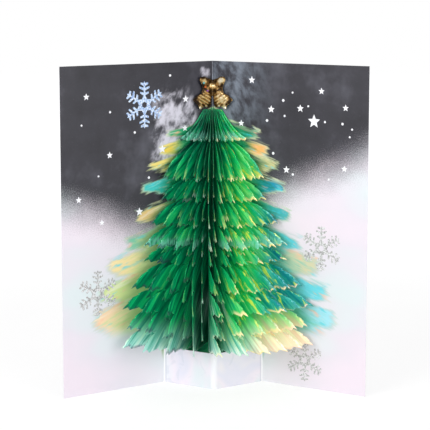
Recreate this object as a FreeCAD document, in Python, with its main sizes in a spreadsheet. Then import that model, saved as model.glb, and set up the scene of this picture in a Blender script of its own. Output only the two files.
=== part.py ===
import FreeCAD, Part
import math
import os
from FreeCAD import Placement, Rotation, Vector

# Pop up card standing open: a folded cover, a fan of film leaves that makes a fir tree,
# a gold foil topper, a folded base strip and foil ornaments on the two panels.
# Millimetres, +Z up. The origin is the foot of the spine fold, in the middle of the card's
# thickness. The card opens towards -Y, with the left panel towards -X.

doc = FreeCAD.newDocument("pop_up_card")

SIZES = [
    ("card_height", 200.0),
    ("panel_width", 110.0),
    ("card_thickness", 0.4),
    ("spine_radius", 0.8),
    ("opening_angle", 112.0),
    ("strip_reach", 37.4),
    ("strip_height", 22.5),
    ("strip_thickness", 0.3),
    ("strip_fold_radius", 2.4),
    ("strip_tab", 9.0),
    ("leaf_count", 19.0),
    ("leaf_film", 0.2),
    ("leaf_root", 3.5),
    ("leaf_straight", 30.0),
    ("leaf_clearance", 0.1),
    ("foot_clearance", 0.8),
    ("tree_reach", 76.0),
    ("crown_drop", 30.0),
    ("crown_radius", 7.6),
    ("sweep_side", 2.0),
    ("sweep_middle", 9.0),
    ("sweep_turn", 8.0),
    ("needle_cut", 1.4),
    ("short_reach", 0.82),
    ("short_rise", 7.0),
    ("topper_height", 20.5),
    ("topper_width", 24.4),
    ("topper_film", 0.25),
    ("topper_lift", 8.0),
    ("foil", 0.1),
    ("flake_height", 29.0),
    ("flake_bar", 1.1),
    ("star_size", 5.4),
    ("dot_size", 1.7),
]

sheet = doc.addObject("Spreadsheet::Sheet", "sizes")
for row, (alias, value) in enumerate(SIZES, start=1):
    sheet.set(f"A{row}", alias)
    sheet.set(f"B{row}", str(value))
    sheet.setAlias(f"B{row}", alias)
doc.recompute()


def size(alias):
    return float(sheet.get(alias))


# Half of the opening is measured from the middle plane. A panel leans back from the
# X axis by what is left of a right angle.
half_opening = size("opening_angle") / 2
panel_turn = 90.0 - half_opening
parts = []


def new_body(label):
    body = doc.addObject("PartDesign::Body", label)
    body.Label = label
    parts.append(body)
    return body


def origin_plane(body, role):
    return next(plane for plane in body.Origin.OriginFeatures if plane.Role == role)


def sketch_on(body, role, name, offset=0.0):
    sketch = body.newObject("Sketcher::SketchObject", name)
    sketch.AttachmentSupport = [(origin_plane(body, role), "")]
    sketch.MapMode = "FlatFace"
    sketch.AttachmentOffset = Placement(Vector(0, 0, offset), Rotation())
    return sketch


def draw_loop(sketch, corners):
    """Closed outline. A corner is (x, y), or (x, y, via) where an arc through the
    point via runs from the corner before it."""
    points = [Vector(corner[0], corner[1], 0) for corner in corners]
    for index, corner in enumerate(corners):
        start, end = points[index - 1], points[index]
        if len(corner) == 3:
            via = Vector(corner[2][0], corner[2][1], 0)
            sketch.addGeometry(Part.Arc(start, via, end))
        else:
            sketch.addGeometry(Part.LineSegment(start, end))


def pad(body, sketch, name, length_expression):
    feature = body.newObject("PartDesign::Pad", name)
    feature.Profile = sketch
    feature.setExpression("Length", length_expression)
    return feature


# The tree's crown ends a set distance below the card's upper edge.
crown_height = size("card_height") - size("crown_drop")


def turned(angle, x=0.0, y=0.0):
    return Placement(Vector(x, y, 0), Rotation(Vector(0, 0, 1), angle))


def along(direction, distance, side=0.0):
    """Plan point at a distance along a direction given in degrees from -Y towards +X,
    moved sideways by side towards the right of that direction."""
    angle = math.radians(direction)
    x = distance * math.sin(angle) + side * math.cos(angle)
    y = -distance * math.cos(angle) + side * math.sin(angle)
    return x, y


# The cover is one sheet of card, scored and folded once at the spine.
def make_cover():
    half_card = size("card_thickness") / 2
    width = size("panel_width")
    corner = half_card / math.sin(math.radians(half_opening))
    body = new_body("cover")
    plan = sketch_on(body, "XY_Plane", "cover_plan")
    inner_right = along(half_opening, width, -half_card)
    outer_right = along(half_opening, width, half_card)
    draw_loop(
        plan,
        [
            (0, -corner),
            inner_right,
            outer_right,
            (0, corner),
            (-outer_right[0], outer_right[1]),
            (-inner_right[0], inner_right[1]),
        ],
    )
    panels = pad(body, plan, "cover_panels", "sizes.card_height")
    doc.recompute()
    spine_edges = [
        f"Edge{number}"
        for number, edge in enumerate(panels.Shape.Edges, start=1)
        if all(abs(v.X) < 1e-6 and abs(v.Y - corner) < 1e-6 for v in edge.Vertexes)
    ]
    spine = body.newObject("PartDesign::Fillet", "spine_fold")
    spine.Base = (panels, spine_edges)
    spine.setExpression("Radius", "sizes.spine_radius")


# The base strip is a band of card, folded once in front with a soft nose, whose two
# tabs are turned in towards the spine and glued to the panels. Each half of the band
# runs parallel to the panel on the other side.
def make_base_strip():
    half_film = size("strip_thickness") / 2
    nose = size("strip_fold_radius")
    glued = size("card_thickness") / 2 + half_film
    sine = math.sin(math.radians(half_opening))
    cosine = math.cos(math.radians(half_opening))
    fold = along(half_opening, size("strip_reach"), -glued)
    front = fold[1] - fold[0] * cosine / sine

    def right_half(offset):
        """The tab's end, the fold at the panel and the start of the nose, at an offset
        in front of the middle line, and how far forward the nose reaches."""
        tip = front - offset / sine
        radius = nose + offset
        tab_end = along(half_opening, size("strip_reach") - size("strip_tab"), offset - glued)
        run = ((offset - glued) / sine - tip) / (2 * cosine)
        turn = (run * sine, tip + run * cosine)
        tangent = radius * cosine / sine
        nose_start = (tangent * sine, tip + tangent * cosine)
        return tab_end, turn, nose_start, tip + radius / sine - radius

    def mirrored(point):
        return -point[0], point[1]

    tab, turn, start, reach_front = right_half(half_film)
    back_tab, back_turn, back_start, back_front = right_half(-half_film)
    body = new_body("base_strip")
    plan = sketch_on(body, "XY_Plane", "strip_plan")
    draw_loop(
        plan,
        [
            tab,
            turn,
            start,
            (-start[0], start[1], (0, reach_front)),
            mirrored(turn),
            mirrored(tab),
            mirrored(back_tab),
            mirrored(back_turn),
            mirrored(back_start),
            (back_start[0], back_start[1], (0, back_front)),
            back_turn,
            back_tab,
        ],
    )
    pad(body, plan, "strip_band", "sizes.strip_height")


# One leaf of the tree is a half silhouette die-cut from printed film. Each row gives a
# bough: its tip and the notch below it, as shares of the tree's reach and height.
BOUGHS = [
    (0.40, 0.882, 0.22, 0.868),
    (0.54, 0.722, 0.30, 0.712),
    (0.56, 0.632, 0.33, 0.622),
    (0.68, 0.535, 0.38, 0.522),
    (0.76, 0.448, 0.44, 0.436),
    (0.76, 0.385, 0.50, 0.368),
    (0.90, 0.280, 0.60, 0.262),
    (1.00, 0.200, 0.74, 0.180),
    (0.95, 0.112, 0.80, 0.098),
    (1.00, 0.035, 0.50, 0.000),
]
NEEDLES = 1
CROWN_HOLLOW = 0.13
BOUGH_ARCH = 0.12
ARCH_SHARE = 0.65
CURL_FLATS = 3


def blend(start, end, share, rise):
    """Point at a share of the way from start to end, raised by rise."""
    return (
        start[0] + (end[0] - start[0]) * share,
        start[1] + (end[1] - start[1]) * share + rise,
    )


def leaf_outline(short):
    foot = size("strip_height") + size("foot_clearance")
    reach = size("tree_reach")
    root = size("leaf_root")
    needle = size("needle_cut")
    if short:
        foot += size("short_rise")
        reach *= size("short_reach")
    rise = crown_height - foot

    def spot(share_out, share_up):
        return share_out * reach, foot + share_up * rise

    start = (size("crown_radius"), crown_height)
    corners = [(root, foot), (root, crown_height), start]
    for tip_out, tip_up, notch_out, notch_up in BOUGHS:
        tip = spot(tip_out, tip_up)
        notch = spot(notch_out, notch_up)
        # The crown's edge is one hollow arc, and a bough's upper edge is a little arched.
        span = math.dist(start, tip)
        if start[1] == crown_height:
            corners.append((tip[0], tip[1], blend(start, tip, 0.5, -CROWN_HOLLOW * span)))
        else:
            corners.append(blend(start, tip, ARCH_SHARE, BOUGH_ARCH * span))
            corners.append(tip)
        # The lower edge runs back to the notch in cuts that leave pointed needles.
        for number in range(NEEDLES):
            cut_share = (number + 0.4) / NEEDLES
            point_share = (number + 0.6) / NEEDLES
            corners.append(blend(tip, notch, cut_share, needle))
            corners.append(blend(tip, notch, point_share, -0.5 * needle))
        corners.append(notch)
        start = notch
    return corners


def make_leaves():
    count = int(round(size("leaf_count")))
    film = size("leaf_film")
    root = size("leaf_root")
    straight = size("leaf_straight")
    reach = size("tree_reach")
    card_side = size("card_thickness") / 2 + film / 2 + size("leaf_clearance")
    edge_angle = math.degrees(math.asin(card_side / root))
    pitch = 2 * (half_opening - edge_angle) / (count - 1)
    for number in range(count):
        direction = -half_opening + edge_angle + number * pitch
        # The film curls to the right, most a little to the right of the fan's middle.
        turn = size("sweep_turn")
        share = math.cos(math.pi / 2 * (direction - turn) / (half_opening + turn)) ** 2
        sweep = size("sweep_side") + (size("sweep_middle") - size("sweep_side")) * share
        curled = reach - straight
        drift = reach * math.tan(math.radians(sweep))
        radius = curled**2 / (2 * drift)
        body = new_body(f"leaf_{number + 1:02d}")
        plan = sketch_on(body, "XY_Plane", "film_plan")
        draw_curl(plan, root - 1.0, straight, radius, film / 2, 1.1 * curled / radius)
        blank = pad(body, plan, "film_blank", "sizes.card_height")
        outline = sketch_on(body, "XZ_Plane", "die_line")
        border = 40.0
        far = reach + border
        high = crown_height + border
        draw_loop(outline, [(-border, -border), (far, -border), (far, high), (-border, high)])
        draw_loop(outline, leaf_outline(short=number % 2 == 1))
        cut = body.newObject("PartDesign::Pocket", "die_cut")
        cut.Profile = outline
        cut.Type = "ThroughAll"
        cut.SideType = "Symmetric"
        body.Tip = cut
        body.Placement = turned(direction - 90.0)


def draw_curl(sketch, start, straight, radius, half_film, angle):
    """Plan of a film that runs straight along X and then bends towards +Y in flats."""

    def on_curl(turn, offset):
        at = radius + offset
        return straight + at * math.sin(turn), radius - at * math.cos(turn)

    turns = [angle * number / CURL_FLATS for number in range(CURL_FLATS + 1)]
    right = [on_curl(turn, -half_film) for turn in turns]
    left = [on_curl(turn, half_film) for turn in turns]
    draw_loop(sketch, [(start, -half_film)] + left + right[::-1] + [(start, half_film)])


# The topper is a piece of embossed foil film, creased down its middle: a bow over two
# bells. The outline is the right half, as shares of half its width and of its height.
TOPPER_HALF = [
    (0.00, 0.88),
    (0.24, 0.93),
    (0.44, 1.00),
    (0.62, 0.98),
    (0.65, 0.90),
    (0.55, 0.74),
    (0.49, 0.62),
    (0.58, 0.48),
    (0.75, 0.44),
    (0.97, 0.34),
    (1.00, 0.29),
    (0.84, 0.18),
    (0.72, 0.12),
    (0.66, 0.02),
    (0.59, 0.00),
    (0.47, 0.08),
    (0.16, 0.04),
    (0.07, 0.14),
    (0.03, 0.38),
    (0.00, 0.40),
]


def make_topper():
    half_width = size("topper_width") / 2
    half_film = size("topper_film") / 2
    wing_angle = half_opening - size("topper_lift")
    gutter = size("card_thickness") / 2 / math.sin(math.radians(half_opening))
    corner = half_film / math.sin(math.radians(wing_angle))
    crease = -(gutter + size("leaf_clearance") + corner)
    base = crown_height + size("leaf_clearance")
    body = new_body("gold_topper")
    body.Placement = turned(0.0, 0.0, crease)
    plan = sketch_on(body, "XY_Plane", "topper_plan", base - 1.0)
    length = 1.2 * half_width / math.sin(math.radians(wing_angle))
    inner = along(wing_angle, length, -half_film)
    outer = along(wing_angle, length, half_film)
    draw_loop(
        plan,
        [
            (0, -corner),
            inner,
            outer,
            (0, corner),
            (-outer[0], outer[1]),
            (-inner[0], inner[1]),
        ],
    )
    pad(body, plan, "topper_blank", "sizes.topper_height + 2")
    half = [(u * half_width, base + v * size("topper_height")) for u, v in TOPPER_HALF]
    mirrored = [(-x, z) for x, z in reversed(half[1:-1])]
    outline = sketch_on(body, "XZ_Plane", "topper_die_line")
    border = 20.0
    wide = half_width + border
    high = base + size("topper_height") + border
    low = base - border
    draw_loop(outline, [(-wide, low), (wide, low), (wide, high), (-wide, high)])
    draw_loop(outline, half + mirrored)
    cut = body.newObject("PartDesign::Pocket", "topper_die_cut")
    cut.Profile = outline
    cut.Type = "ThroughAll"
    cut.SideType = "Symmetric"
    body.Tip = cut


# Foil ornaments lie face to face on the inner side of a panel. A place is the distance
# from the spine as a share of the panel's width, and the height as a share of the card's.
def panel_place(on_right, out, up):
    side = 1 if on_right else -1
    return side * out * size("panel_width"), up * size("card_height")


def foil_body(label, on_right):
    body = new_body(label)
    body.Placement = turned(-panel_turn if on_right else panel_turn)
    return body


def stamp(body, loops):
    sketch = sketch_on(body, "XZ_Plane", "stamp", size("card_thickness") / 2)
    for loop in loops:
        draw_loop(sketch, loop)
    return pad(body, sketch, "foil_layer", "sizes.foil")


def polar(centre, radius, angle):
    turn = math.radians(angle)
    return centre[0] + radius * math.cos(turn), centre[1] + radius * math.sin(turn)


FLAKE_BRANCHES = [(0.40, 0.20), (0.60, 0.25), (0.80, 0.17)]


def flake_loops(centre, height):
    """Six arms with three pairs of branches each, round a six-sided opening."""
    reach = height / 2
    bar = size("flake_bar") / 2
    hub = 0.27 * reach
    outline = []
    for arm in range(6):
        turn = 90.0 + 60.0 * arm
        along_arm = []
        for start, length in FLAKE_BRANCHES:
            foot, out = start * reach, length * reach
            lean = math.radians(60.0)
            tip = (foot + out * math.cos(lean), bar + out * math.sin(lean))
            along_arm.append((foot, bar))
            along_arm.append((tip[0] - 0.5 * bar, tip[1]))
            along_arm.append((tip[0] + 1.6 * bar, tip[1]))
            along_arm.append((foot + 3.2 * bar, bar))
        right_side = [(u, -v) for u, v in along_arm]
        outline.append(polar(centre, hub, turn - 30.0))
        for u, v in right_side + [(reach, 0.0)] + along_arm[::-1]:
            on_arm = polar(centre, u, turn)
            outline.append(polar(on_arm, v, turn + 90.0))
    opening = [polar(centre, 0.5 * hub, 30.0 + 60.0 * k) for k in range(6)]
    return [outline, opening]


# Each flake: whether it is on the right panel, its place and its size as a share.
SNOWFLAKES = [
    ("snowflake_1", False, 0.462, 0.874, 1.00),
    ("snowflake_2", False, 0.776, 0.309, 1.00),
    ("snowflake_3", True, 0.717, 0.442, 0.98),
    ("snowflake_4", True, 0.617, 0.087, 0.93),
]


def make_snowflakes():
    for label, on_right, out, up, share in SNOWFLAKES:
        body = foil_body(label, on_right)
        centre = panel_place(on_right, out, up)
        stamp(body, flake_loops(centre, share * size("flake_height")))


def star_loop(centre, across):
    outer = across / 2
    return [
        polar(centre, outer if number % 2 == 0 else STAR_WAIST * outer, 90.0 + 36.0 * number)
        for number in range(10)
    ]


def dot_loop(centre, across):
    return [polar(centre, across / 2, 60.0 * number) for number in range(6)]


# Stars and dots: place, and size as a share.
STAR_WAIST = 0.45
STARS_LEFT = [
    (0.836, 0.907, 0.8), (0.691, 0.728, 0.8), (0.891, 0.600, 0.8), (0.745, 0.525, 0.7),
    (0.500, 0.547, 1.0), (0.186, 0.885, 0.9), (0.191, 0.795, 0.8), (0.345, 0.735, 1.0),
]
DOTS_LEFT = [
    (0.291, 0.960, 1.0), (0.686, 0.858, 0.9), (0.868, 0.823, 0.8), (0.527, 0.792, 1.0),
    (0.764, 0.667, 0.8), (0.436, 0.650, 1.0),
]
STARS_RIGHT = [
    (0.264, 0.945, 0.9), (0.709, 0.920, 0.8), (0.391, 0.858, 0.9), (0.577, 0.865, 0.9),
    (0.859, 0.873, 0.8), (0.664, 0.828, 1.6), (0.195, 0.810, 0.8), (0.491, 0.675, 0.9),
    (0.855, 0.690, 0.8),
]
DOTS_RIGHT = [
    (0.527, 0.912, 0.8), (0.468, 0.887, 1.1), (0.627, 0.873, 0.8), (0.477, 0.840, 0.9),
    (0.364, 0.823, 1.1), (0.732, 0.828, 0.9), (0.841, 0.825, 1.0), (0.900, 0.810, 0.8),
    (0.886, 0.787, 0.8), (0.405, 0.723, 1.1), (0.532, 0.662, 1.0), (0.759, 0.655, 0.8),
]


def make_foil_stars(label, on_right, stars, dots):
    body = foil_body(label, on_right)
    body.AllowCompound = True
    loops = []
    for out, up, share in stars:
        loops.append(star_loop(panel_place(on_right, out, up), share * size("star_size")))
    for out, up, share in dots:
        loops.append(dot_loop(panel_place(on_right, out, up), share * size("dot_size")))
    stamp(body, loops)


make_cover()
make_base_strip()
make_leaves()
make_topper()
make_snowflakes()
make_foil_stars("foil_stars_left", False, STARS_LEFT, DOTS_LEFT)
make_foil_stars("foil_stars_right", True, STARS_RIGHT, DOTS_RIGHT)
doc.recompute()

for item in doc.Objects:
    if "Invalid" in item.State or "Error" in item.State:
        raise RuntimeError(f"{item.Label} did not recompute")

os.makedirs("parts", exist_ok=True)
for part in parts:
    if part.Shape.isNull() or not part.Shape.isValid():
        raise RuntimeError(f"{part.Label} has no valid shape")
    part.Shape.exportStep(os.path.join("parts", f"{part.Label}.step"))
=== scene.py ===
import math

import bmesh
import bpy
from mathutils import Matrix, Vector, noise


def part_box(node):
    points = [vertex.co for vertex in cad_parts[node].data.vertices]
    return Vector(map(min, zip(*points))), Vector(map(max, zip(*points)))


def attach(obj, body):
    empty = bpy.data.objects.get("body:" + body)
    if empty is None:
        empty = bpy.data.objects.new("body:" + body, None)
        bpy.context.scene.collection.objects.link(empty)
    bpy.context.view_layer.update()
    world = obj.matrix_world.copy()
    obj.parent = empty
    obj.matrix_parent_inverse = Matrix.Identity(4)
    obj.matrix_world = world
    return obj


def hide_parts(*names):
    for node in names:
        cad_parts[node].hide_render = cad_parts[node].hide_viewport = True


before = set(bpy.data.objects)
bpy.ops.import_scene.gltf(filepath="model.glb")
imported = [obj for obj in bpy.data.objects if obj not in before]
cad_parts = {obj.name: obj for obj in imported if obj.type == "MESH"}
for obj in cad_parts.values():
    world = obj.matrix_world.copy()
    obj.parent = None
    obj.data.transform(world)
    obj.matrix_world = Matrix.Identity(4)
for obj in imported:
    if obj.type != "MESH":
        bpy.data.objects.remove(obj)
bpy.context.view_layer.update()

# The table and the light: a plain white sweep, a large soft lamp at the left in front and a
# weaker one at the right, and the camera where the photographer stood, a little above the
# card and a little to the left of its fold.
MM = 0.001
EYE = Vector((-0.0241, -1.0336, 0.2571))
AIM = Vector((0.0009, -0.0300, 0.1071))
FOCAL_LENGTH = 138.3

camera_data = bpy.data.cameras.new("camera")
camera_data.lens = FOCAL_LENGTH
camera_data.sensor_width = 36.0
camera = bpy.data.objects.new("camera", camera_data)
camera.location = EYE
camera.rotation_euler = (AIM - EYE).to_track_quat("-Z", "Y").to_euler()
bpy.context.collection.objects.link(camera)
bpy.context.scene.camera = camera
bpy.context.scene.view_settings.view_transform = "Standard"


class Ink:
    """A value, colour or vector in a material's node tree. Arithmetic on it adds Math nodes."""

    def __init__(self, tree, socket):
        self.tree = tree
        self.socket = socket

    def node(self, kind, settings, inputs, output=0):
        """Any other node: its settings first, then the values or links of its sockets."""
        made = self.tree.nodes.new(kind)
        for key, value in settings.items():
            if key == "stops":
                ramp = made.color_ramp
                while len(ramp.elements) < len(value):
                    ramp.elements.new(0.5)
                for element, (position, colour) in zip(ramp.elements, value):
                    element.position = position
                    element.color = (*colour, 1.0)
            else:
                setattr(made, key, value)
        for key, value in inputs.items():
            if isinstance(value, Ink):
                self.tree.links.new(value.socket, made.inputs[key])
            elif value is not None:
                made.inputs[key].default_value = value
        return Ink(self.tree, made.outputs[output])

    def math(self, operation, *values):
        return self.node("ShaderNodeMath", {"operation": operation}, dict(enumerate(values)))

    def smaller(self, other):
        return self.math("MINIMUM", self, other)

    def larger(self, other):
        return self.math("MAXIMUM", self, other)

    def near(self, centre, reach):
        """1 at the centre, 0 at the reach on either side of it and below 0 beyond."""
        return 1.0 - abs(self - centre) / reach

    def __add__(self, other):
        return self.math("ADD", self, other)

    __radd__ = __add__

    def __mul__(self, other):
        return self.math("MULTIPLY", self, other)

    __rmul__ = __mul__

    def __sub__(self, other):
        return self.math("SUBTRACT", self, other)

    def __rsub__(self, other):
        return self.math("SUBTRACT", other, self)

    def __truediv__(self, other):
        return self.math("DIVIDE", self, other)

    def __neg__(self):
        return self.math("MULTIPLY", self, -1.0)

    def __abs__(self):
        return self.math("ABSOLUTE", self)

    def __pow__(self, other):
        return self.math("POWER", self, other)

    def __gt__(self, other):
        return self.math("GREATER_THAN", self, other)

    def ramp(self, low, high):
        """0 at low, 1 at high, eased between them."""
        settings = {"interpolation_type": "SMOOTHSTEP"}
        return self.node("ShaderNodeMapRange", settings, {0: self, 1: low, 2: high, 3: 0.0, 4: 1.0})

    def mix(self, other, share):
        """This colour turned into the other by a share."""
        return self.node("ShaderNodeMix", {"data_type": "RGBA"}, {0: share, 6: self, 7: other}, 2)

    def grain(self, scale, detail=2.0, roughness=0.5, distortion=0.0):
        """Fractal noise over this place, from 0 to 1."""
        inputs = {"Vector": self, "Scale": scale, "Detail": detail}
        inputs |= {"Roughness": roughness, "Distortion": distortion}
        return self.node("ShaderNodeTexNoise", {}, inputs)

    def stops(self, *stops):
        """Colour by value, from (place, colour) pairs."""
        return self.node("ShaderNodeValToRGB", {"stops": stops}, {0: self})

    def parts(self):
        """The three parts of a vector."""
        return [self.node("ShaderNodeSeparateXYZ", {}, {0: self}, axis) for axis in range(3)]

    def vector(self, x, y, z):
        return self.node("ShaderNodeCombineXYZ", {}, {0: x, 1: y, 2: z})


def rgb(red, green, blue):
    """A colour as the eye names it, 0 to 255, in the linear light that a shader takes."""
    levels = (red, green, blue)
    return tuple(((c / 255 + 0.055) / 1.055) ** 2.4 if c > 10 else c / 3294.6 for c in levels)


def paint(red, green, blue):
    """The same colour with its opacity, for a socket."""
    return (*rgb(red, green, blue), 1.0)


def new_finish(name):
    """An empty material, its place in millimetres and its shader."""
    finish = bpy.data.materials.new(name)
    finish.use_nodes = True
    tree = finish.node_tree
    shader = tree.nodes["Principled BSDF"]
    coordinates = tree.nodes.new("ShaderNodeTexCoord")
    place = Ink(tree, coordinates.outputs["Object"])
    settings = {"operation": "SCALE"}
    place = place.node("ShaderNodeVectorMath", settings, {0: place, "Scale": 1000.0})
    return finish, place, shader


def feed(shader, **inputs):
    """Links or values on the shader's sockets, by names such as base_color."""
    for key, value in inputs.items():
        socket = shader.inputs[key.replace("_", " ").title().replace("Ior", "IOR")]
        if isinstance(value, Ink):
            value.tree.links.new(value.socket, socket)
        else:
            socket.default_value = value


def feed_bump(shader, height, strength, depth):
    """A bump of a height from 0 to 1, so many millimetres deep."""
    inputs = {"Height": height, "Strength": strength, "Distance": depth * MM}
    bump = height.node("ShaderNodeBump", {}, inputs)
    height.tree.links.new(bump.socket, shader.inputs["Normal"])


def soft_lamp(name, spot, across, watts):
    """A round area lamp turned to the card."""
    lamp_data = bpy.data.lights.new(name, "AREA")
    lamp_data.shape = "DISK"
    lamp_data.size = across
    lamp_data.energy = watts
    lamp = bpy.data.objects.new(name, lamp_data)
    lamp.location = spot
    lamp.rotation_euler = (AIM - Vector(spot)).to_track_quat("-Z", "Y").to_euler()
    bpy.context.collection.objects.link(lamp)


soft_lamp("key_lamp", (-0.90, -1.05, 0.48), 0.9, 9.0)
soft_lamp("fill_lamp", (0.8, -1.0, 0.20), 1.0, 7.5)

WORLD_FILL = 0.67
world = bpy.data.worlds.new("studio")
world.use_nodes = True
bpy.context.scene.world = world
background = world.node_tree.nodes["Background"]
background.inputs["Color"].default_value = (1.0, 1.0, 1.0, 1.0)


def shown_rays(tree):
    """1 for a ray that the camera, a mirror or a clear piece looks along, 0 for light."""
    path = tree.nodes.new("ShaderNodeLightPath")
    camera_ray = Ink(tree, path.outputs["Is Camera Ray"])
    glossy_ray = Ink(tree, path.outputs["Is Glossy Ray"])
    clear_ray = Ink(tree, path.outputs["Is Transmission Ray"])
    return camera_ray.larger(glossy_ray.larger(clear_ray))


strength = shown_rays(world.node_tree) * (1.0 - WORLD_FILL) + WORLD_FILL
world.node_tree.links.new(strength.socket, background.inputs["Strength"])

# The floor is a very pale grey that takes the card's shadow. It is shown partly white, and
# more so with the distance from the card, so that it runs into the white behind it.
FLOOR_HALF = 3.0
FLOOR_SHOWN_WHITE = 0.55
FAR_FLOOR_WHITE = 0.35
FLOOR_NEAR = 200.0
FLOOR_FAR = 1000.0
FLOOR_GLARE = 1.225
floor_mesh = bpy.data.meshes.new("floor")
corners = [(-FLOOR_HALF, -FLOOR_HALF, 0), (FLOOR_HALF, -FLOOR_HALF, 0)]
corners += [(FLOOR_HALF, FLOOR_HALF, 0), (-FLOOR_HALF, FLOOR_HALF, 0)]
floor_mesh.from_pydata(corners, [], [(0, 1, 2, 3)])
floor = bpy.data.objects.new("floor", floor_mesh)
bpy.context.collection.objects.link(floor)
floor_finish, floor_place, floor_shader = new_finish("floor_sweep")
feed(floor_shader, roughness=0.9, specular_ior_level=0.1)
floor_grain = floor_place.grain(0.02)
feed(floor_shader, base_color=floor_grain.stops((0.0, rgb(238, 238, 238)), (1.0, rgb(243, 243, 243))))
floor_tree = floor_finish.node_tree
white = floor_place.node("ShaderNodeEmission", {}, {"Color": (1, 1, 1, 1), "Strength": FLOOR_GLARE})
floor_x, floor_y, _ = floor_place.parts()
away = ((floor_x * floor_x + floor_y * floor_y) ** 0.5).ramp(FLOOR_NEAR, FLOOR_FAR)
shown_white = shown_rays(floor_tree) * (away * FAR_FLOOR_WHITE + FLOOR_SHOWN_WHITE)
shown = white.node("ShaderNodeMixShader", {}, {0: shown_white, 2: white})
floor_tree.links.new(floor_shader.outputs[0], shown.socket.node.inputs[1])
floor_tree.links.new(shown.socket, floor_tree.nodes["Material Output"].inputs["Surface"])
floor_mesh.materials.append(floor_finish)

# The cover: one sheet of 0.4 mm card, printed inside with a night sky that fades to snow and
# a softly painted fir tree, laminated, and folded once at the spine. The outside is plain
# pearl card.
CARD_HEIGHT = 200.0
PANEL_TURN = math.radians(34.0)

# Where the night ends on each panel: its height at the fold, and its climb outwards.
NIGHT_EDGE_LEFT = (77.0, 0.34)
NIGHT_EDGE_RIGHT = (95.0, 0.45)

# The painted boughs, from the lowest up: how far the tip is from the fold, its height, half
# its thickness, and the paint of its tip on the left and on the right panel.
PAINTED_BOUGHS = [
    (80.0, 36.0, 3.6, paint(250, 206, 190), paint(176, 208, 244)),
    (88.0, 45.0, 5.6, paint(252, 212, 166), paint(150, 224, 240)),
    (83.0, 61.0, 4.6, paint(208, 222, 134), paint(74, 212, 228)),
    (77.0, 77.0, 4.8, paint(250, 222, 152), paint(214, 208, 164)),
    (64.0, 90.0, 3.8, paint(108, 198, 162), paint(34, 200, 216)),
    (57.0, 107.0, 3.0, paint(234, 198, 130), paint(44, 176, 184)),
    (53.0, 124.0, 2.6, paint(60, 196, 192), paint(16, 146, 176)),
    (48.0, 137.0, 2.4, paint(246, 222, 128), paint(206, 198, 142)),
    (40.5, 146.5, 2.4, paint(244, 212, 84), paint(250, 182, 104)),
    (34.0, 156.0, 2.4, paint(60, 170, 122), paint(40, 150, 126)),
]

# How fast a painted bough thickens from its tip inwards, above and below.
BOUGH_RISE = 0.24
BOUGH_UNDERCUT = 0.20


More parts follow.
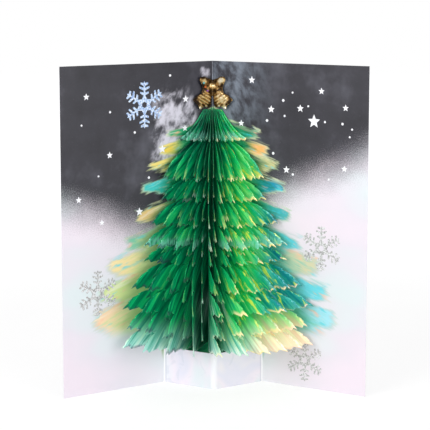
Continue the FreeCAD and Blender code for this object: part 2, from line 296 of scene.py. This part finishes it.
def print_on_cover():
    finish, place, shader = new_finish("printed_card")
    x, y, z = place.parts()
    out = (x * x + y * y) ** 0.5
    right = x > 0.0
    inside = (-(abs(x) * math.sin(PANEL_TURN) + y * math.cos(PANEL_TURN))) > 0.05

    def by_panel(left_paint, right_paint):
        """One paint on the left panel and another on the right."""
        choice = {0: right, 6: left_paint, 7: right_paint}
        return place.node("ShaderNodeMix", {"data_type": "RGBA"}, choice, 2)

    # Night above, snow below, with a speckled edge that climbs away from the spine.
    flat = place.vector(out * (right * 2.0 - 1.0), 0.0, z)
    left_edge = NIGHT_EDGE_LEFT[0] + NIGHT_EDGE_LEFT[1] * out
    right_edge = NIGHT_EDGE_RIGHT[0] + NIGHT_EDGE_RIGHT[1] * out
    edge = left_edge * (1.0 - right) + right_edge * right
    cloud = flat.grain(0.028, 4.0, 0.6)
    speckle = flat.grain(1.5, 2.0, 0.7)
    drift = (z - edge) + (cloud - 0.5) * 22.0 + (speckle - 0.5) * 30.0
    night = cloud.stops((0.30, rgb(30, 29, 36)), (0.52, rgb(46, 45, 53)), (0.75, rgb(86, 86, 96)))
    dust = flat.grain(0.9, 3.0, 0.75)
    night = night.mix(paint(150, 150, 162), dust.ramp(0.62, 0.80) * 0.35)

    # Pale mist in patches beside the crown, and a cooler haze right of the fold.
    patches = place.vector(out + 0.3 * z, 0.0, z * 0.75).grain(0.12, 5.0, 0.62, 0.2)
    beside = out.near(29.0, 22.0).ramp(0.0, 0.8) * z.near(156.0, 34.0).ramp(0.0, 0.7)
    at_top = out.near(6.0, 6.0).ramp(0.0, 0.8) * z.near(193.0, 5.0).ramp(0.0, 0.8)
    mist = (patches + beside * 0.20 + at_top * 0.26).ramp(0.50, 0.78) * (beside + at_top).ramp(0.0, 0.45)
    night = night.mix(paint(222, 219, 232), mist * (1.0 - right) * 0.9)
    haze = (1.0 - out / 52.0).ramp(0.0, 1.0) * (z / CARD_HEIGHT).ramp(0.50, 0.95) * right
    night = night.mix(paint(136, 146, 160), haze * patches.ramp(0.34, 0.66))

    # The snow is faintly blue and rose. Under the tree it is painted whiter, painted light that evens out
    # the tree's shadow on the card.
    hue = place.vector(out, 0.0, z * 1.6).grain(0.016, 2.0, 0.5)
    snow = hue.stops((0.32, rgb(221, 229, 233)), (0.50, rgb(229, 222, 232)), (0.68, rgb(235, 223, 234)))
    painted_light_under_tree = (1.0 - out / 75.0).ramp(0.0, 0.8) * (1.0 - z / 60.0).ramp(0.0, 0.6)
    snow = snow.mix(paint(250, 250, 254), painted_light_under_tree * 0.6)
    picture = snow.mix(night, drift.ramp(-15.0, 19.0))

    # The painted tree behind the leaves: soft boughs whose strokes fall outwards.
    fall = z + 0.16 * out + 0.0014 * out * out
    strokes = place.vector(out * 0.13 + right * 40.0, 0.0, fall).grain(0.26, 4.0, 0.66, 0.4)
    flecks = place.vector(out * 0.30 + right * 90.0, 0.0, fall).grain(0.17, 3.0, 0.55)
    snowy = 1.0 - (z / CARD_HEIGHT).ramp(0.42, 0.62)
    leaning = (strokes - 0.5) * 13.0
    spread = 34.0 + (156.0 - z) * 0.46
    core = spread * (0.52 + snowy * 0.32)
    depth = (core.smaller((168.0 - z) * 0.9 + 4.0) - out) * 0.5 + leaning
    emerald = strokes.stops(
        (0.32, rgb(0, 96, 66)),
        (0.50, rgb(10, 150, 98)),
        (0.68, rgb(84, 200, 130)),
    )
    pale = by_panel(paint(224, 236, 166), paint(118, 214, 196))
    green = emerald.mix(pale, snowy * out.ramp(22.0, 52.0) * 0.8)
    tips = emerald
    for reach, height, half, left_paint, right_paint in PAINTED_BOUGHS:
        back = reach - out
        above = (height + half) + BOUGH_RISE * back - z
        lower = z - (height - half) + BOUGH_UNDERCUT * back
        inner = above.smaller(lower.smaller(back * 0.7)) + leaning
        tips = tips.mix(by_panel(left_paint, right_paint), inner.ramp(-2.0, 3.0))
        depth = depth.larger(inner)
    tipness = (out / spread + (strokes - 0.5) * 0.5 - snowy * 0.06).ramp(0.60, 0.92)
    tips = tips.mix(green, (0.5 - strokes).ramp(0.02, 0.14) * 0.55)
    tips = tips.mix(paint(250, 247, 232), strokes.ramp(0.54, 0.68) * (0.45 - right * 0.20))
    tree_paint = green.mix(tips, tipness)
    tree_paint = tree_paint.mix(paint(50, 208, 222), flecks.ramp(0.56, 0.64) * tipness * 0.85)
    tree_paint = tree_paint.mix(paint(250, 184, 140), (1.0 - flecks).ramp(0.57, 0.66) * tipness * 0.75)
    rim = (1.0 - depth.ramp(0.6, 2.4)) * (z / CARD_HEIGHT).ramp(0.42, 0.60)
    tree_paint = tree_paint.mix(paint(236, 230, 190), rim * (0.25 + strokes.ramp(0.44, 0.60) * 0.5))
    above_foot = (z + (46.0 - out).ramp(0.0, 12.0) * 24.0).ramp(30.0, 40.0)
    soft = (depth * (1.0 - snowy * 0.5)).ramp(-0.9, 1.6) * above_foot
    fade = 1.0 - tipness * 0.12 * snowy
    picture = picture.mix(tree_paint, soft * fade)

    # The fold is scored: the print is broken along it, with a dark line on either side.
    score = 1.0 - out.ramp(0.45, 0.75)
    groove = out.ramp(0.45, 0.75) * (1.0 - out.ramp(1.1, 1.7))
    picture = picture.mix(paint(170, 170, 178), score * 0.22).mix(paint(40, 40, 48), groove * 0.5)

    # The outside is plain pearl card, and the lamination is on the inside alone.
    pearl = speckle.stops((0.3, rgb(226, 226, 232)), (0.7, rgb(234, 234, 240)))
    feed(shader, base_color=pearl.mix(picture, inside), specular_ior_level=0.3)
    feed(shader, roughness=0.34 + speckle * 0.12)
    feed(shader, coat_weight=inside * 0.12, coat_roughness=0.2)
    feed_bump(shader, place.grain(2.2, 3.0, 0.6), 0.12, 0.05)
    return finish


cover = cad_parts["cover"]
cover.data.materials.clear()
cover.data.materials.append(print_on_cover())

# The base strip: a band of glossy pale card with a pearl film, folded round a soft nose in
# front and glued to the panels by two tabs turned in behind it.
STRIP_FOLD = 30.6

strip_finish, strip_place, strip_shader = new_finish("gloss_card")
sheen = strip_place.grain(0.035, 2.0, 0.5, 0.4)
sweep = strip_place.grain(0.12, 1.0, 0.4, 1.2)
strip_colour = sheen.stops(
    (0.32, rgb(222, 232, 236)),
    (0.47, rgb(238, 230, 240)),
    (0.60, rgb(226, 224, 238)),
    (0.72, rgb(240, 234, 238)),
)
strip_colour = strip_colour.mix(paint(205, 208, 222), sweep.ramp(0.60, 0.72) * 0.35)

# Painted highlights: pale lines along the folds at the panels and along the nose in front, with a darker
# edge beside each fold.
strip_x = strip_place.parts()[0]
fold_x = abs(abs(strip_x) - STRIP_FOLD)
strip_colour = strip_colour.mix(paint(190, 190, 204), (1.0 - fold_x.ramp(0.9, 1.5)) * 0.5)
strip_colour = strip_colour.mix(paint(248, 247, 250), (1.0 - fold_x.ramp(0.35, 0.7)) * 0.9)
strip_colour = strip_colour.mix(paint(250, 249, 252), (1.0 - abs(strip_x).ramp(1.4, 2.6)) * 0.5)
feed(strip_shader, base_color=strip_colour, roughness=0.18 + sheen * 0.1)
feed(strip_shader, coat_weight=0.5, coat_roughness=0.06, specular_ior_level=0.6)
feed_bump(strip_shader, sweep, 0.10, 0.3)
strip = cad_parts["base_strip"]
strip.data.materials.clear()
strip.data.materials.append(strip_finish)

# The tree: nineteen half-tree leaves die-cut from iridescent printed film 0.2 mm thick, glued
# at their roots in the spine like the pages of a book. Every second leaf is shorter, and they
# curl to the right, most a little to the right of the middle.
LEAVES = 19
FILM = 0.2
ROOT = 3.5
STRAIGHT = 30.0
REACH = 76.0

# Trimmed off the reach, to keep the finer film within the bounds of the solids.
TRIM = 0.15
CROWN = 170.0
CROWN_RADIUS = 7.6
CROWN_HOLLOW = 0.13
FOOT = 23.3
SHORT_REACH = 0.82
SHORT_RISE = 7.0
HALF_OPENING = 56.0

# From the middle of the cover to the middle of an outermost leaf.
CARD_SIDE = 0.4
SWEEP_SIDE = 2.0
SWEEP_MIDDLE = 9.0
SWEEP_TURN = 8.0
BOUGH_ARCH = 0.12
NEEDLE_CUT = 1.3
NEEDLE_COUNT = 2
BUSHY_BOUGHS = (1, 3, 4, 6, 9)
WAVE = 0.5
GRID = 1.5

# Painted light: the film glows weakly in its own colours, a painted stand-in for the light that falls
# through it.
PAINTED_GLOW_STRENGTH = 0.30

# Points along a bough's upper edge. Beside two of them the edge has a small nick.
EDGE_SHARES = (0.2, 0.4, 0.55, 0.7, 0.84, 0.94)
NICKED_SHARES = (0.55, 0.84)
NICK_BACK = 0.01
NICK_DEPTH = 0.6
BOW_PEAK = 0.385

# The boughs from the crown down: a tip and the notch below it, as shares of the leaf's reach
# and height.
BOUGHS = [
    (0.40, 0.882, 0.22, 0.868),
    (0.54, 0.722, 0.30, 0.712),
    (0.56, 0.632, 0.33, 0.622),
    (0.68, 0.535, 0.38, 0.522),
    (0.76, 0.448, 0.44, 0.436),
    (0.76, 0.385, 0.50, 0.368),
    (0.90, 0.280, 0.60, 0.262),
    (1.00, 0.200, 0.74, 0.180),
    (0.95, 0.112, 0.80, 0.098),
    (1.00, 0.035, 0.50, 0.000),
]


def between(start, end, share, rise=0.0):
    """A point at a share of the way from start to end, raised by rise."""
    return (
        start[0] + (end[0] - start[0]) * share,
        start[1] + (end[1] - start[1]) * share + rise,
    )


def leaf_outline(short):
    """The die line of a leaf, from its foot up the root and down over the boughs, and its
    lower edges alone, each from a tip back to the notch."""
    foot = FOOT + (SHORT_RISE if short else 0.0)
    reach = (REACH - TRIM) * (SHORT_REACH if short else 1.0)
    rise = CROWN - foot
    start = (CROWN_RADIUS, CROWN)
    outline = [(ROOT, foot), (ROOT, CROWN), start]
    lower_edges = []
    for number, (tip_out, tip_up, notch_out, notch_up) in enumerate(BOUGHS):
        tip = (tip_out * reach, foot + tip_up * rise)
        notch = (notch_out * reach, foot + notch_up * rise)
        span = math.dist(start, tip)
        for share in EDGE_SHARES:
            bow = share * (1.0 - share) * (1.0 + share) / BOW_PEAK
            if number == 0:
                bow = -4.0 * CROWN_HOLLOW / BOUGH_ARCH * share * (1.0 - share)
            arch = BOUGH_ARCH * span * bow
            outline.append(between(start, tip, share, arch))
            if number > 0 and share in NICKED_SHARES:
                nick = arch - NICK_DEPTH * NEEDLE_CUT
                outline.append(between(start, tip, share - NICK_BACK, nick))
        needles = NEEDLE_COUNT + (number in BUSHY_BOUGHS)
        lower = [tip]
        for cut in range(needles):
            share = (cut + 0.62) / needles
            lower.append(between(tip, notch, (cut + 0.46) / needles, NEEDLE_CUT))
            lower.append(between(tip, notch, share, NEEDLE_CUT * (0.9 * share - 0.7)))
        lower.append(notch)
        outline += lower
        lower_edges.append(lower)
        start = notch
    return outline, lower_edges


def flat_sheet(outline, step):
    """A flat outline cut into small faces, as points, faces and the edges of its border."""
    mesh = bmesh.new()
    mesh.faces.new([mesh.verts.new((out, 0.0, up)) for out, up in outline])
    for axis, normal in ((0, (1.0, 0.0, 0.0)), (1, (0.0, 0.0, 1.0))):
        values = [point[axis] for point in outline]
        level = min(values) + step
        while level < max(values):
            geometry = mesh.verts[:] + mesh.edges[:] + mesh.faces[:]
            spot = tuple(level * part for part in normal)
            bmesh.ops.bisect_plane(mesh, geom=geometry, dist=0.001, plane_co=spot, plane_no=normal)
            level += step
    bmesh.ops.triangulate(mesh, faces=mesh.faces[:])
    mesh.verts.index_update()
    points = [vert.co.copy() for vert in mesh.verts]
    faces = [[vert.index for vert in face.verts] for face in mesh.faces]
    border = []
    for edge in mesh.edges:
        if len(edge.link_faces) == 1:
            loop = edge.link_loops[0]
            border.append((loop.vert.index, loop.link_loop_next.vert.index))
    mesh.free()
    return points, faces, border


def from_line(point, line):
    """How far a point of the flat sheet is from a line of straight runs."""
    nearest = math.inf
    for (a, b), (c, d) in zip(line, line[1:]):
        along = ((point.x - a) * (c - a) + (point.z - b) * (d - b)) / ((c - a) ** 2 + (d - b) ** 2)
        along = min(1.0, max(0.0, along))
        apart = (point.x - a - along * (c - a), point.z - b - along * (d - b))
        nearest = min(nearest, math.hypot(*apart))
    return nearest


def film_piece(name, sheet, shape, finishes, fields):
    """A film with two faces and a cut edge. shape gives a point's place on either face, and
    fields gives each named vector of the print for a point."""
    points, faces, border = sheet
    count = len(points)
    places = [shape(point, 1.0) for point in points] + [shape(point, -1.0) for point in points]
    back = [[index + count for index in reversed(face)] for face in faces]
    rim = [(b, a, a + count, b + count) for a, b in border]
    mesh = bpy.data.meshes.new(name)
    mesh.from_pydata(places, [], faces + back + rim)
    for finish in finishes:
        mesh.materials.append(finish)
    for polygon in mesh.polygons:
        polygon.use_smooth = polygon.index < 2 * len(faces)
        polygon.material_index = 0 if polygon.use_smooth else len(finishes) - 1
    for field, values in fields.items():
        flat = mesh.attributes.new(field, "FLOAT_VECTOR", "POINT")
        flat.data.foreach_set("vector", [part for value in values + values for part in value])
    piece = bpy.data.objects.new(name, mesh)
    bpy.context.collection.objects.link(piece)
    return piece


def film_colours(place):
    """The print of the leaves: strokes that fall outwards, painted shade within and painted light on the
    right, coloured at the tips, with painted highlights and a painted glow. The leaf's own places are on
    the flat film, and x and z are places in the card."""
    die_place = {"attribute_name": "die_place"}
    out, leaf, up = place.node("ShaderNodeAttribute", die_place, {}, 1).parts()
    die_edge = {"attribute_name": "die_edge"}
    rim, bough, tip = place.node("ShaderNodeAttribute", die_edge, {}, 1).parts()
    x, _, z = place.parts()
    fall = up + 0.40 * out + 0.0035 * out * out
    strokes = place.vector(out * 0.11, leaf * 90.0, fall).grain(0.27, 4.0, 0.6, 0.4)
    broad = place.vector(out * 0.06, leaf * 35.0, fall * 0.5).grain(0.10, 2.0, 0.5, 0.3)
    flecks = place.vector(out * 0.42, leaf * 120.0, fall + 300.0).grain(0.24, 3.0, 0.6, 0.3)
    cone = (84.0 - 0.40 * (up - 34.0)).smaller((CROWN - up) * 1.5 + 9.0)
    share = out / cone
    lit = x.ramp(-8.0, 20.0)

    # Emerald, with painted shade that makes it nearly black within and in the middle, painted light that
    # makes it grass green on the right, a painted highlight on the second tier, and darker towards the
    # crown.
    middle_shade = x.near(-2.0, 26.0).ramp(0.0, 1.0)
    light = (strokes - 0.5) * 1.5 + broad * 0.4 + share * 0.36 + lit * 0.26 - middle_shade * 0.06 + 0.08
    second_tier_highlight = up.near(134.0, 26.0).ramp(0.0, 1.0) * lit
    light = light - up.ramp(144.0, 168.0) * 0.10 + second_tier_highlight * 0.08
    colour = light.stops(
        (0.10, rgb(0, 48, 38)),
        (0.28, rgb(0, 84, 62)),
        (0.44, rgb(0, 126, 86)),
        (0.60, rgb(4, 170, 106)),
        (0.76, rgb(36, 198, 116)),
        (0.94, rgb(128, 228, 132)),
    )

    # Painted highlights: grass and lemon streaks in the lit half.
    grass_highlight = (flecks + share * 0.12).ramp(0.50, 0.62) * lit * (1.0 - tip * 0.6)
    colour = colour.mix(paint(30, 196, 84), grass_highlight * 0.75)
    lemon_highlight = (flecks + strokes * 0.4).ramp(0.78, 0.86) * x.ramp(-2.0, 16.0) * share.ramp(0.30, 0.60)
    colour = colour.mix(paint(240, 236, 84), lemon_highlight * 0.8)

    # The boughs' ends: lemon and cream, mint in the middle, teal and deep blue at the right.
    end = (tip + (strokes - 0.5) * 0.5).ramp(0.55, 1.0)
    teal = strokes.stops((0.36, rgb(0, 92, 132)), (0.52, rgb(0, 138, 148)), (0.66, rgb(60, 186, 176)))
    warm = strokes.stops((0.36, rgb(130, 190, 90)), (0.50, rgb(240, 224, 110)), (0.62, rgb(252, 236, 176)))
    cool_right = x.ramp(16.0, 38.0) * z.ramp(44.0, 56.0) * (1.0 - flecks.ramp(0.54, 0.64) * 0.8)
    colour = colour.mix(warm, end * flecks.ramp(0.46, 0.58) * x.ramp(-40.0, 10.0) * 0.85)
    colour = colour.mix(teal, share.ramp(0.46, 0.80) * cool_right * 0.9)
    colour = colour.mix(paint(26, 66, 140), end * cool_right * strokes.ramp(0.50, 0.62) * 0.8)

    # Painted shade: the ends at the left, on the side away from the light, are dark between the flecks.
    left_end_shade = end * (-x).ramp(14.0, 34.0) * up.ramp(36.0, 50.0) * (1.0 - flecks.ramp(0.50, 0.60))
    colour = colour.mix(paint(4, 56, 58), left_end_shade * 0.75)

    # Frosted fringes along the lower edges of the first and the fifth bough.
    bristle = place.vector(out * 0.9, leaf * 50.0, up * 0.12).grain(0.9, 2.0, 0.6)
    first_bough = (1.0 - abs(bough) * 12.0).ramp(0.0, 1.0)
    fifth_bough = (1.0 - abs(bough - 0.4) * 12.0).ramp(0.0, 1.0)
    between_them = up.ramp(92.0, 97.0) * (1.0 - up.ramp(120.0, 140.0))
    fringed = (first_bough + fifth_bough) * (1.0 - between_them)
    frost = fringed * (1.0 - (rim / 6.5).ramp(0.3, 1.0)) * (bristle + share * 0.1).ramp(0.44, 0.62)
    colour = colour.mix(paint(136, 212, 194), frost * 0.75)

    # The foot of the tree is pale, mint at the left and peach at the right.
    foot_paint = x.ramp(12.0, 32.0)
    foot_up = up + (strokes - 0.5) * 18.0 - foot_paint * 5.0
    foot = (1.0 - foot_up.ramp(28.0, 48.0)) * share.ramp(0.30, 0.75)
    mint = strokes.stops(
        (0.36, rgb(60, 170, 146)),
        (0.48, rgb(160, 220, 212)),
        (0.60, rgb(226, 246, 238)),
    )
    peach = strokes.stops((0.42, rgb(252, 208, 180)), (0.56, rgb(255, 238, 204)))
    foot_colour = mint.mix(peach, foot_paint * 0.9)
    colour = colour.mix(foot_colour, foot * (1.0 - middle_shade * 0.25) * 0.9)

    # A few pale gleams low in the middle.
    gleam = up.near(50.0, 16.0).ramp(0.0, 0.8) * x.near(0.0, 13.0).ramp(0.0, 0.7)
    colour = colour.mix(paint(196, 216, 216), gleam * strokes.ramp(0.50, 0.62) * 0.7)

    # Painted glints along the lower edges: gold and cream highlights at the right, white in the middle,
    # and dark plum painted shade at the left.
    chance = place.vector(leaf * 300.0, bough * 70.0, 0.0).grain(1.0, 0.0)
    wide = 1.0 + 1.7 * chance.ramp(0.45, 0.70) + 0.8 * (-x).ramp(20.0, 34.0)
    glint = (1.0 - (rim / wide).ramp(0.25, 1.0)) * (flecks * 1.5 + (chance - 0.5) * 2.0).ramp(0.70, 0.84)
    glint = glint * tip.ramp(0.15, 0.45) * (1.0 - (-x).ramp(16.0, 30.0) * 0.35)
    glint_colour = (x / 120.0 + 0.5).stops(
        (0.12, rgb(70, 36, 96)),
        (0.34, rgb(8, 60, 58)),
        (0.45, rgb(196, 228, 210)),
        (0.56, rgb(255, 240, 186)),
        (0.76, rgb(255, 226, 150)),
        (0.93, rgb(244, 214, 190)),
    )
    colour = colour.mix(glint_colour, glint)
    # Painted light: the glow of the film, with painted shade within and in the middle.
    painted_glow = colour.mix(paint(0, 0, 0), (1.0 - share.ramp(0.2, 1.0)) * 0.5 + middle_shade * 0.3)
    return colour, painted_glow, strokes, glint


def print_on_film():
    finish, place, shader = new_finish("leaf_film")
    colour, painted_glow, strokes, glint = film_colours(place)
    feed(shader, base_color=colour, metallic=0.12 + strokes * 0.15, specular_ior_level=0.5)
    feed(shader, emission_color=painted_glow, emission_strength=PAINTED_GLOW_STRENGTH)
    feed(shader, roughness=0.40 - strokes * 0.2, coat_weight=0.3 + glint * 0.3, coat_roughness=0.1)
    feed_bump(shader, place.grain(0.09, 1.0, 0.4), 0.5, 0.8)
    return finish


def cut_edge():
    """The cut edge of the film, in a deeper green of the print beside it, with the same painted glow."""
    finish, place, shader = new_finish("leaf_cut_edge")
    colour, painted_glow, strokes, _ = film_colours(place)
    feed(shader, base_color=colour.mix(paint(8, 84, 56), 0.5), roughness=0.3 + strokes * 0.2)
    feed(shader, emission_color=painted_glow, emission_strength=PAINTED_GLOW_STRENGTH)
    return finish


def bough_fields(points, lower_edges):
    """For each point: how far it is from the nearest lower edge, its bough and how near it
    is to the bough's tip."""
    fields = []
    for point in points:
        number = sum(point.z < line[0][1] - 1.0 for line in lower_edges)
        number = min(number, len(lower_edges) - 1)
        neighbours = lower_edges[max(0, number - 1):number + 2]
        rim = min(from_line(point, line) for line in neighbours)
        tip, notch = lower_edges[number][0], lower_edges[number][-1]
        share = (point.x - notch[0]) / (tip[0] - notch[0])
        fields.append((rim, number / len(lower_edges), min(1.0, max(0.0, share))))
    return fields


leaf_finishes = [print_on_film(), cut_edge()]
sheets = {}
for short in (False, True):
    outline, lower_edges = leaf_outline(short)
    sheet = flat_sheet(outline, GRID)
    sheets[short] = sheet, bough_fields(sheet[0], lower_edges)
edge_angle = math.degrees(math.asin(CARD_SIDE / ROOT))
pitch = 2 * (HALF_OPENING - edge_angle) / (LEAVES - 1)
for number in range(LEAVES):
    direction = -HALF_OPENING + edge_angle + number * pitch
    middle = math.cos(math.pi / 2 * (direction - SWEEP_TURN) / (HALF_OPENING + SWEEP_TURN)) ** 2
    drift = REACH * math.tan(math.radians(SWEEP_SIDE + (SWEEP_MIDDLE - SWEEP_SIDE) * middle))
    radius = (REACH - STRAIGHT) ** 2 / (2 * drift)
    angle = math.radians(direction)
    ahead = Vector((math.sin(angle), -math.cos(angle), 0.0))
    aside = Vector((math.cos(angle), math.sin(angle), 0.0))

    def on_leaf(point, face):
        """The place of a die-cut point on the curled film."""
        turn = math.asin(max(0.0, point.x - STRAIGHT) / radius)
        phase = 0.07 * point.z + 0.04 * point.x + 1.7 * number
        wave = WAVE * (point.x / REACH) ** 2 * math.sin(phase)
        offset = -face * FILM / 2
        out = point.x - offset * math.sin(turn)
        side = radius * (1.0 - math.cos(turn)) + offset * math.cos(turn) + wave
        return (ahead * out + aside * side + Vector((0, 0, point.z))) * MM

    label = f"leaf_{number + 1:02d}"
    sheet, edge_fields = sheets[number % 2 == 1]
    plan_fields = [(point.x, number / (LEAVES - 1), point.z) for point in sheet[0]]
    fields = {"die_place": plan_fields, "die_edge": edge_fields}
    leaf = film_piece(label + "_film", sheet, on_leaf, leaf_finishes, fields)
    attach(leaf, "root")
    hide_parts(label)

# The topper: one piece of gold film, embossed into a bow over two bells, creased down its
# middle and pushed into the spine above the leaves.
TOPPER_HALF = [
    (0.00, 0.88),
    (0.24, 0.93),
    (0.44, 1.00),
    (0.62, 0.98),
    (0.65, 0.90),
    (0.55, 0.74),
    (0.49, 0.62),
    (0.58, 0.48),
    (0.75, 0.44),
    (0.97, 0.34),
    (1.00, 0.29),
    (0.84, 0.18),
    (0.72, 0.12),
    (0.66, 0.02),
    (0.59, 0.00),
    (0.47, 0.08),
    (0.16, 0.04),
    (0.07, 0.14),
    (0.03, 0.38),
    (0.00, 0.40),
]
TOPPER_FILM = 0.25
TOPPER_LIFT = 8.0
TOPPER_CREASE = 0.51
TOPPER_GRID = 0.42
RELIEF_DEPTH = 0.8
BELL_LEAN = -0.93
MOUTH_LEAN = 0.70
low_corner, high_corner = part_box("gold_topper")
topper_half_width = high_corner[0] * 1000
topper_base = low_corner[2] * 1000
topper_height = (high_corner[2] - low_corner[2]) * 1000

# Rainbow glints of the film on the left wing: place across, height and colour.
GLINTS = [
    (-5.4, 16.5, paint(150, 250, 255)),
    (-4.4, 13.9, paint(240, 130, 70)),
    (-3.0, 11.4, paint(190, 130, 240)),
]
wing_lean = 1.0 / math.tan(math.radians(HALF_OPENING - TOPPER_LIFT))
right_half = [(u * topper_half_width, topper_base + v * topper_height) for u, v in TOPPER_HALF]
left_half = [(-out, up) for out, up in right_half[-2:0:-1]]
topper_sheet = flat_sheet(right_half + left_half, TOPPER_GRID)


def dome(u, v, centre, across, tilt):
    """1 at the centre of a tilted oval and 0 at its border and beyond."""
    a, b = u - centre[0], v - centre[1]
    along = a * math.cos(tilt) + b * math.sin(tilt)
    beside = b * math.cos(tilt) - a * math.sin(tilt)
    inside = 1.0 - (along / across[0]) ** 2 - (beside / across[1]) ** 2
    return math.sqrt(inside) if inside > 0.0 else 0.0


def emboss(point):
    """The height of the relief: two bow loops and a knot, and two bells with ribs."""
    u = abs(point.x)
    v = point.z - topper_base
    loops = dome(u, v, (5.4, 17.2), (3.7, 2.3), 0.5)
    knot = 1.2 * dome(u, v, (0.0, 14.0), (1.9, 2.1), 0.0)
    tails = 0.8 * dome(u, v, (3.6, 11.4), (3.6, 1.3), -0.9)
    bell = 1.2 * dome(u, v, (5.4, 5.6), (5.6, 4.4), BELL_LEAN)
    along = u * math.cos(BELL_LEAN) + v * math.sin(BELL_LEAN)
    ribs = 0.34 * math.cos(2.0 * math.pi * (along + 1.0) / 1.9) * (bell > 0.35 and along < 1.6)
    mouth = 0.7 * dome(u, v, (9.0, 4.2), (1.3, 4.0), BELL_LEAN)
    clapper = 0.9 * dome(u, v, (7.6, 1.0), (1.0, 1.2), 0.0)
    fold = 0.18 * noise.noise(Vector((point.x * 0.9, point.z * 0.9, 3.0)))
    return 1.1 * (max(loops, knot, tails, bell + ribs, mouth, clapper) + fold)


def gold_tone(point):
    """The painted shade and highlights of the film at a point, beside its mere height: painted shade in
    the mouths of the bells and the folds of the bow, and painted highlights on the rims, clappers and
    loops, the loops brighter on the right wing."""
    u = abs(point.x)
    v = point.z - topper_base
    dark = max(
        dome(u, v, (9.6, 4.6), (2.6, 1.3), MOUTH_LEAN),
        dome(u, v, (5.7, 15.2), (0.9, 1.5), -0.3),
        dome(u, v, (4.2, 12.2), (1.7, 0.7), 0.6),
        dome(u, v, (5.4, 2.6), (1.8, 0.8), MOUTH_LEAN),
    )
    bright = max(
        dome(u, v, (10.4, 3.1), (2.5, 0.7), MOUTH_LEAN),
        dome(u, v, (4.0, 1.9), (0.9, 1.0), 0.0),
        dome(u, v, (7.6, 1.0), (1.0, 1.1), 0.0),
        dome(u, v, (4.7, 18.0), (1.9, 1.3), 0.9) * (1.0 if point.x > 0.0 else 0.3),
    )
    return dark, bright, emboss(point)


def on_topper(point, face):
    """The place of a die-cut point on the creased and embossed film."""
    thick = TOPPER_FILM / 2 + emboss(point) * RELIEF_DEPTH * face
    y = -TOPPER_CREASE - wing_lean * abs(point.x) - face * thick
    return Vector((point.x, y, point.z)) * MM


gold_finish, gold_place, gold_shader = new_finish("gold_film")
crinkle = gold_place.grain(0.42, 3.0, 0.6, 0.5)
gold_x, _, gold_z = gold_place.parts()
relief = gold_place.node("ShaderNodeAttribute", {"attribute_name": "relief"}, {}, 1)
hollow_shade, shine, raised = relief.parts()
# Painted light: the gold is lighter on the raised relief and towards the right wing, with the painted
# shade and highlights of the relief.
tone = crinkle * 0.55 + raised * 0.17 + gold_x * 0.006 + shine * 0.30 - hollow_shade * 0.26 + 0.09
gold = tone.stops(
    (0.32, rgb(46, 32, 16)),
    (0.43, rgb(116, 88, 46)),
    (0.53, rgb(188, 154, 98)),
    (0.63, rgb(244, 226, 176)),
    (0.74, rgb(255, 246, 220)),
)
for across, up, tint in GLINTS:
    apart = ((gold_x - across) ** 2.0 + (gold_z - (topper_base + up)) ** 2.0) ** 0.5
    gold = gold.mix(tint, 1.0 - apart.ramp(0.35, 0.95))
feed(gold_shader, base_color=gold, metallic=0.6 + crinkle * 0.2, roughness=0.24 + crinkle * 0.16)
feed_bump(gold_shader, crinkle, 0.4, 0.4)
relief_field = {"relief": [gold_tone(point) for point in topper_sheet[0]]}
topper = film_piece("gold_topper_relief", topper_sheet, on_topper, [gold_finish], relief_field)
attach(topper, "root")
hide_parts("gold_topper")

# The snowflakes: stamped foil on the laminated card, one in pale blue rainbow foil on the
# night sky and three in glittering silver on the snow.
def flake_finish(name, *stops):
    """Foil that breaks the light in small cells, from dull to bright."""
    finish, place, shader = new_finish(name)
    glints = place.node("ShaderNodeTexVoronoi", {}, {"Vector": place, "Scale": 1.6}, 1)
    sparkle = glints.parts()[0]
    feed(shader, base_color=sparkle.stops(*stops), metallic=0.2, roughness=0.3 + sparkle * 0.3)
    feed_bump(shader, sparkle, 0.4, 0.2)
    return finish


blue_foil = flake_finish(
    "blue_foil",
    (0.0, rgb(120, 150, 205)),
    (0.5, rgb(180, 205, 235)),
    (1.0, rgb(235, 240, 250)),
)
silver_foil = flake_finish(
    "silver_foil",
    (0.0, rgb(150, 148, 148)),
    (0.42, rgb(190, 188, 190)),
    (1.0, rgb(238, 236, 240)),
)
for number, finish in ((1, blue_foil), (2, silver_foil), (3, silver_foil), (4, silver_foil)):
    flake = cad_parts[f"snowflake_{number}"]
    flake.data.materials.clear()
    flake.data.materials.append(finish)

# The stars and dots: thin white foil, stamped on the laminated card around the tree, most of
# them on the night sky.
star_finish, star_place, star_shader = new_finish("white_foil")
star_grain = star_place.grain(1.2, 2.0, 0.5)
feed(star_shader, base_color=star_grain.stops((0.3, rgb(236, 236, 244)), (0.7, rgb(252, 252, 255))))
feed(star_shader, roughness=0.3 + star_grain * 0.2)
for label in ("foil_stars_left", "foil_stars_right"):
    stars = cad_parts[label]
    stars.data.materials.clear()
    stars.data.materials.append(star_finish)
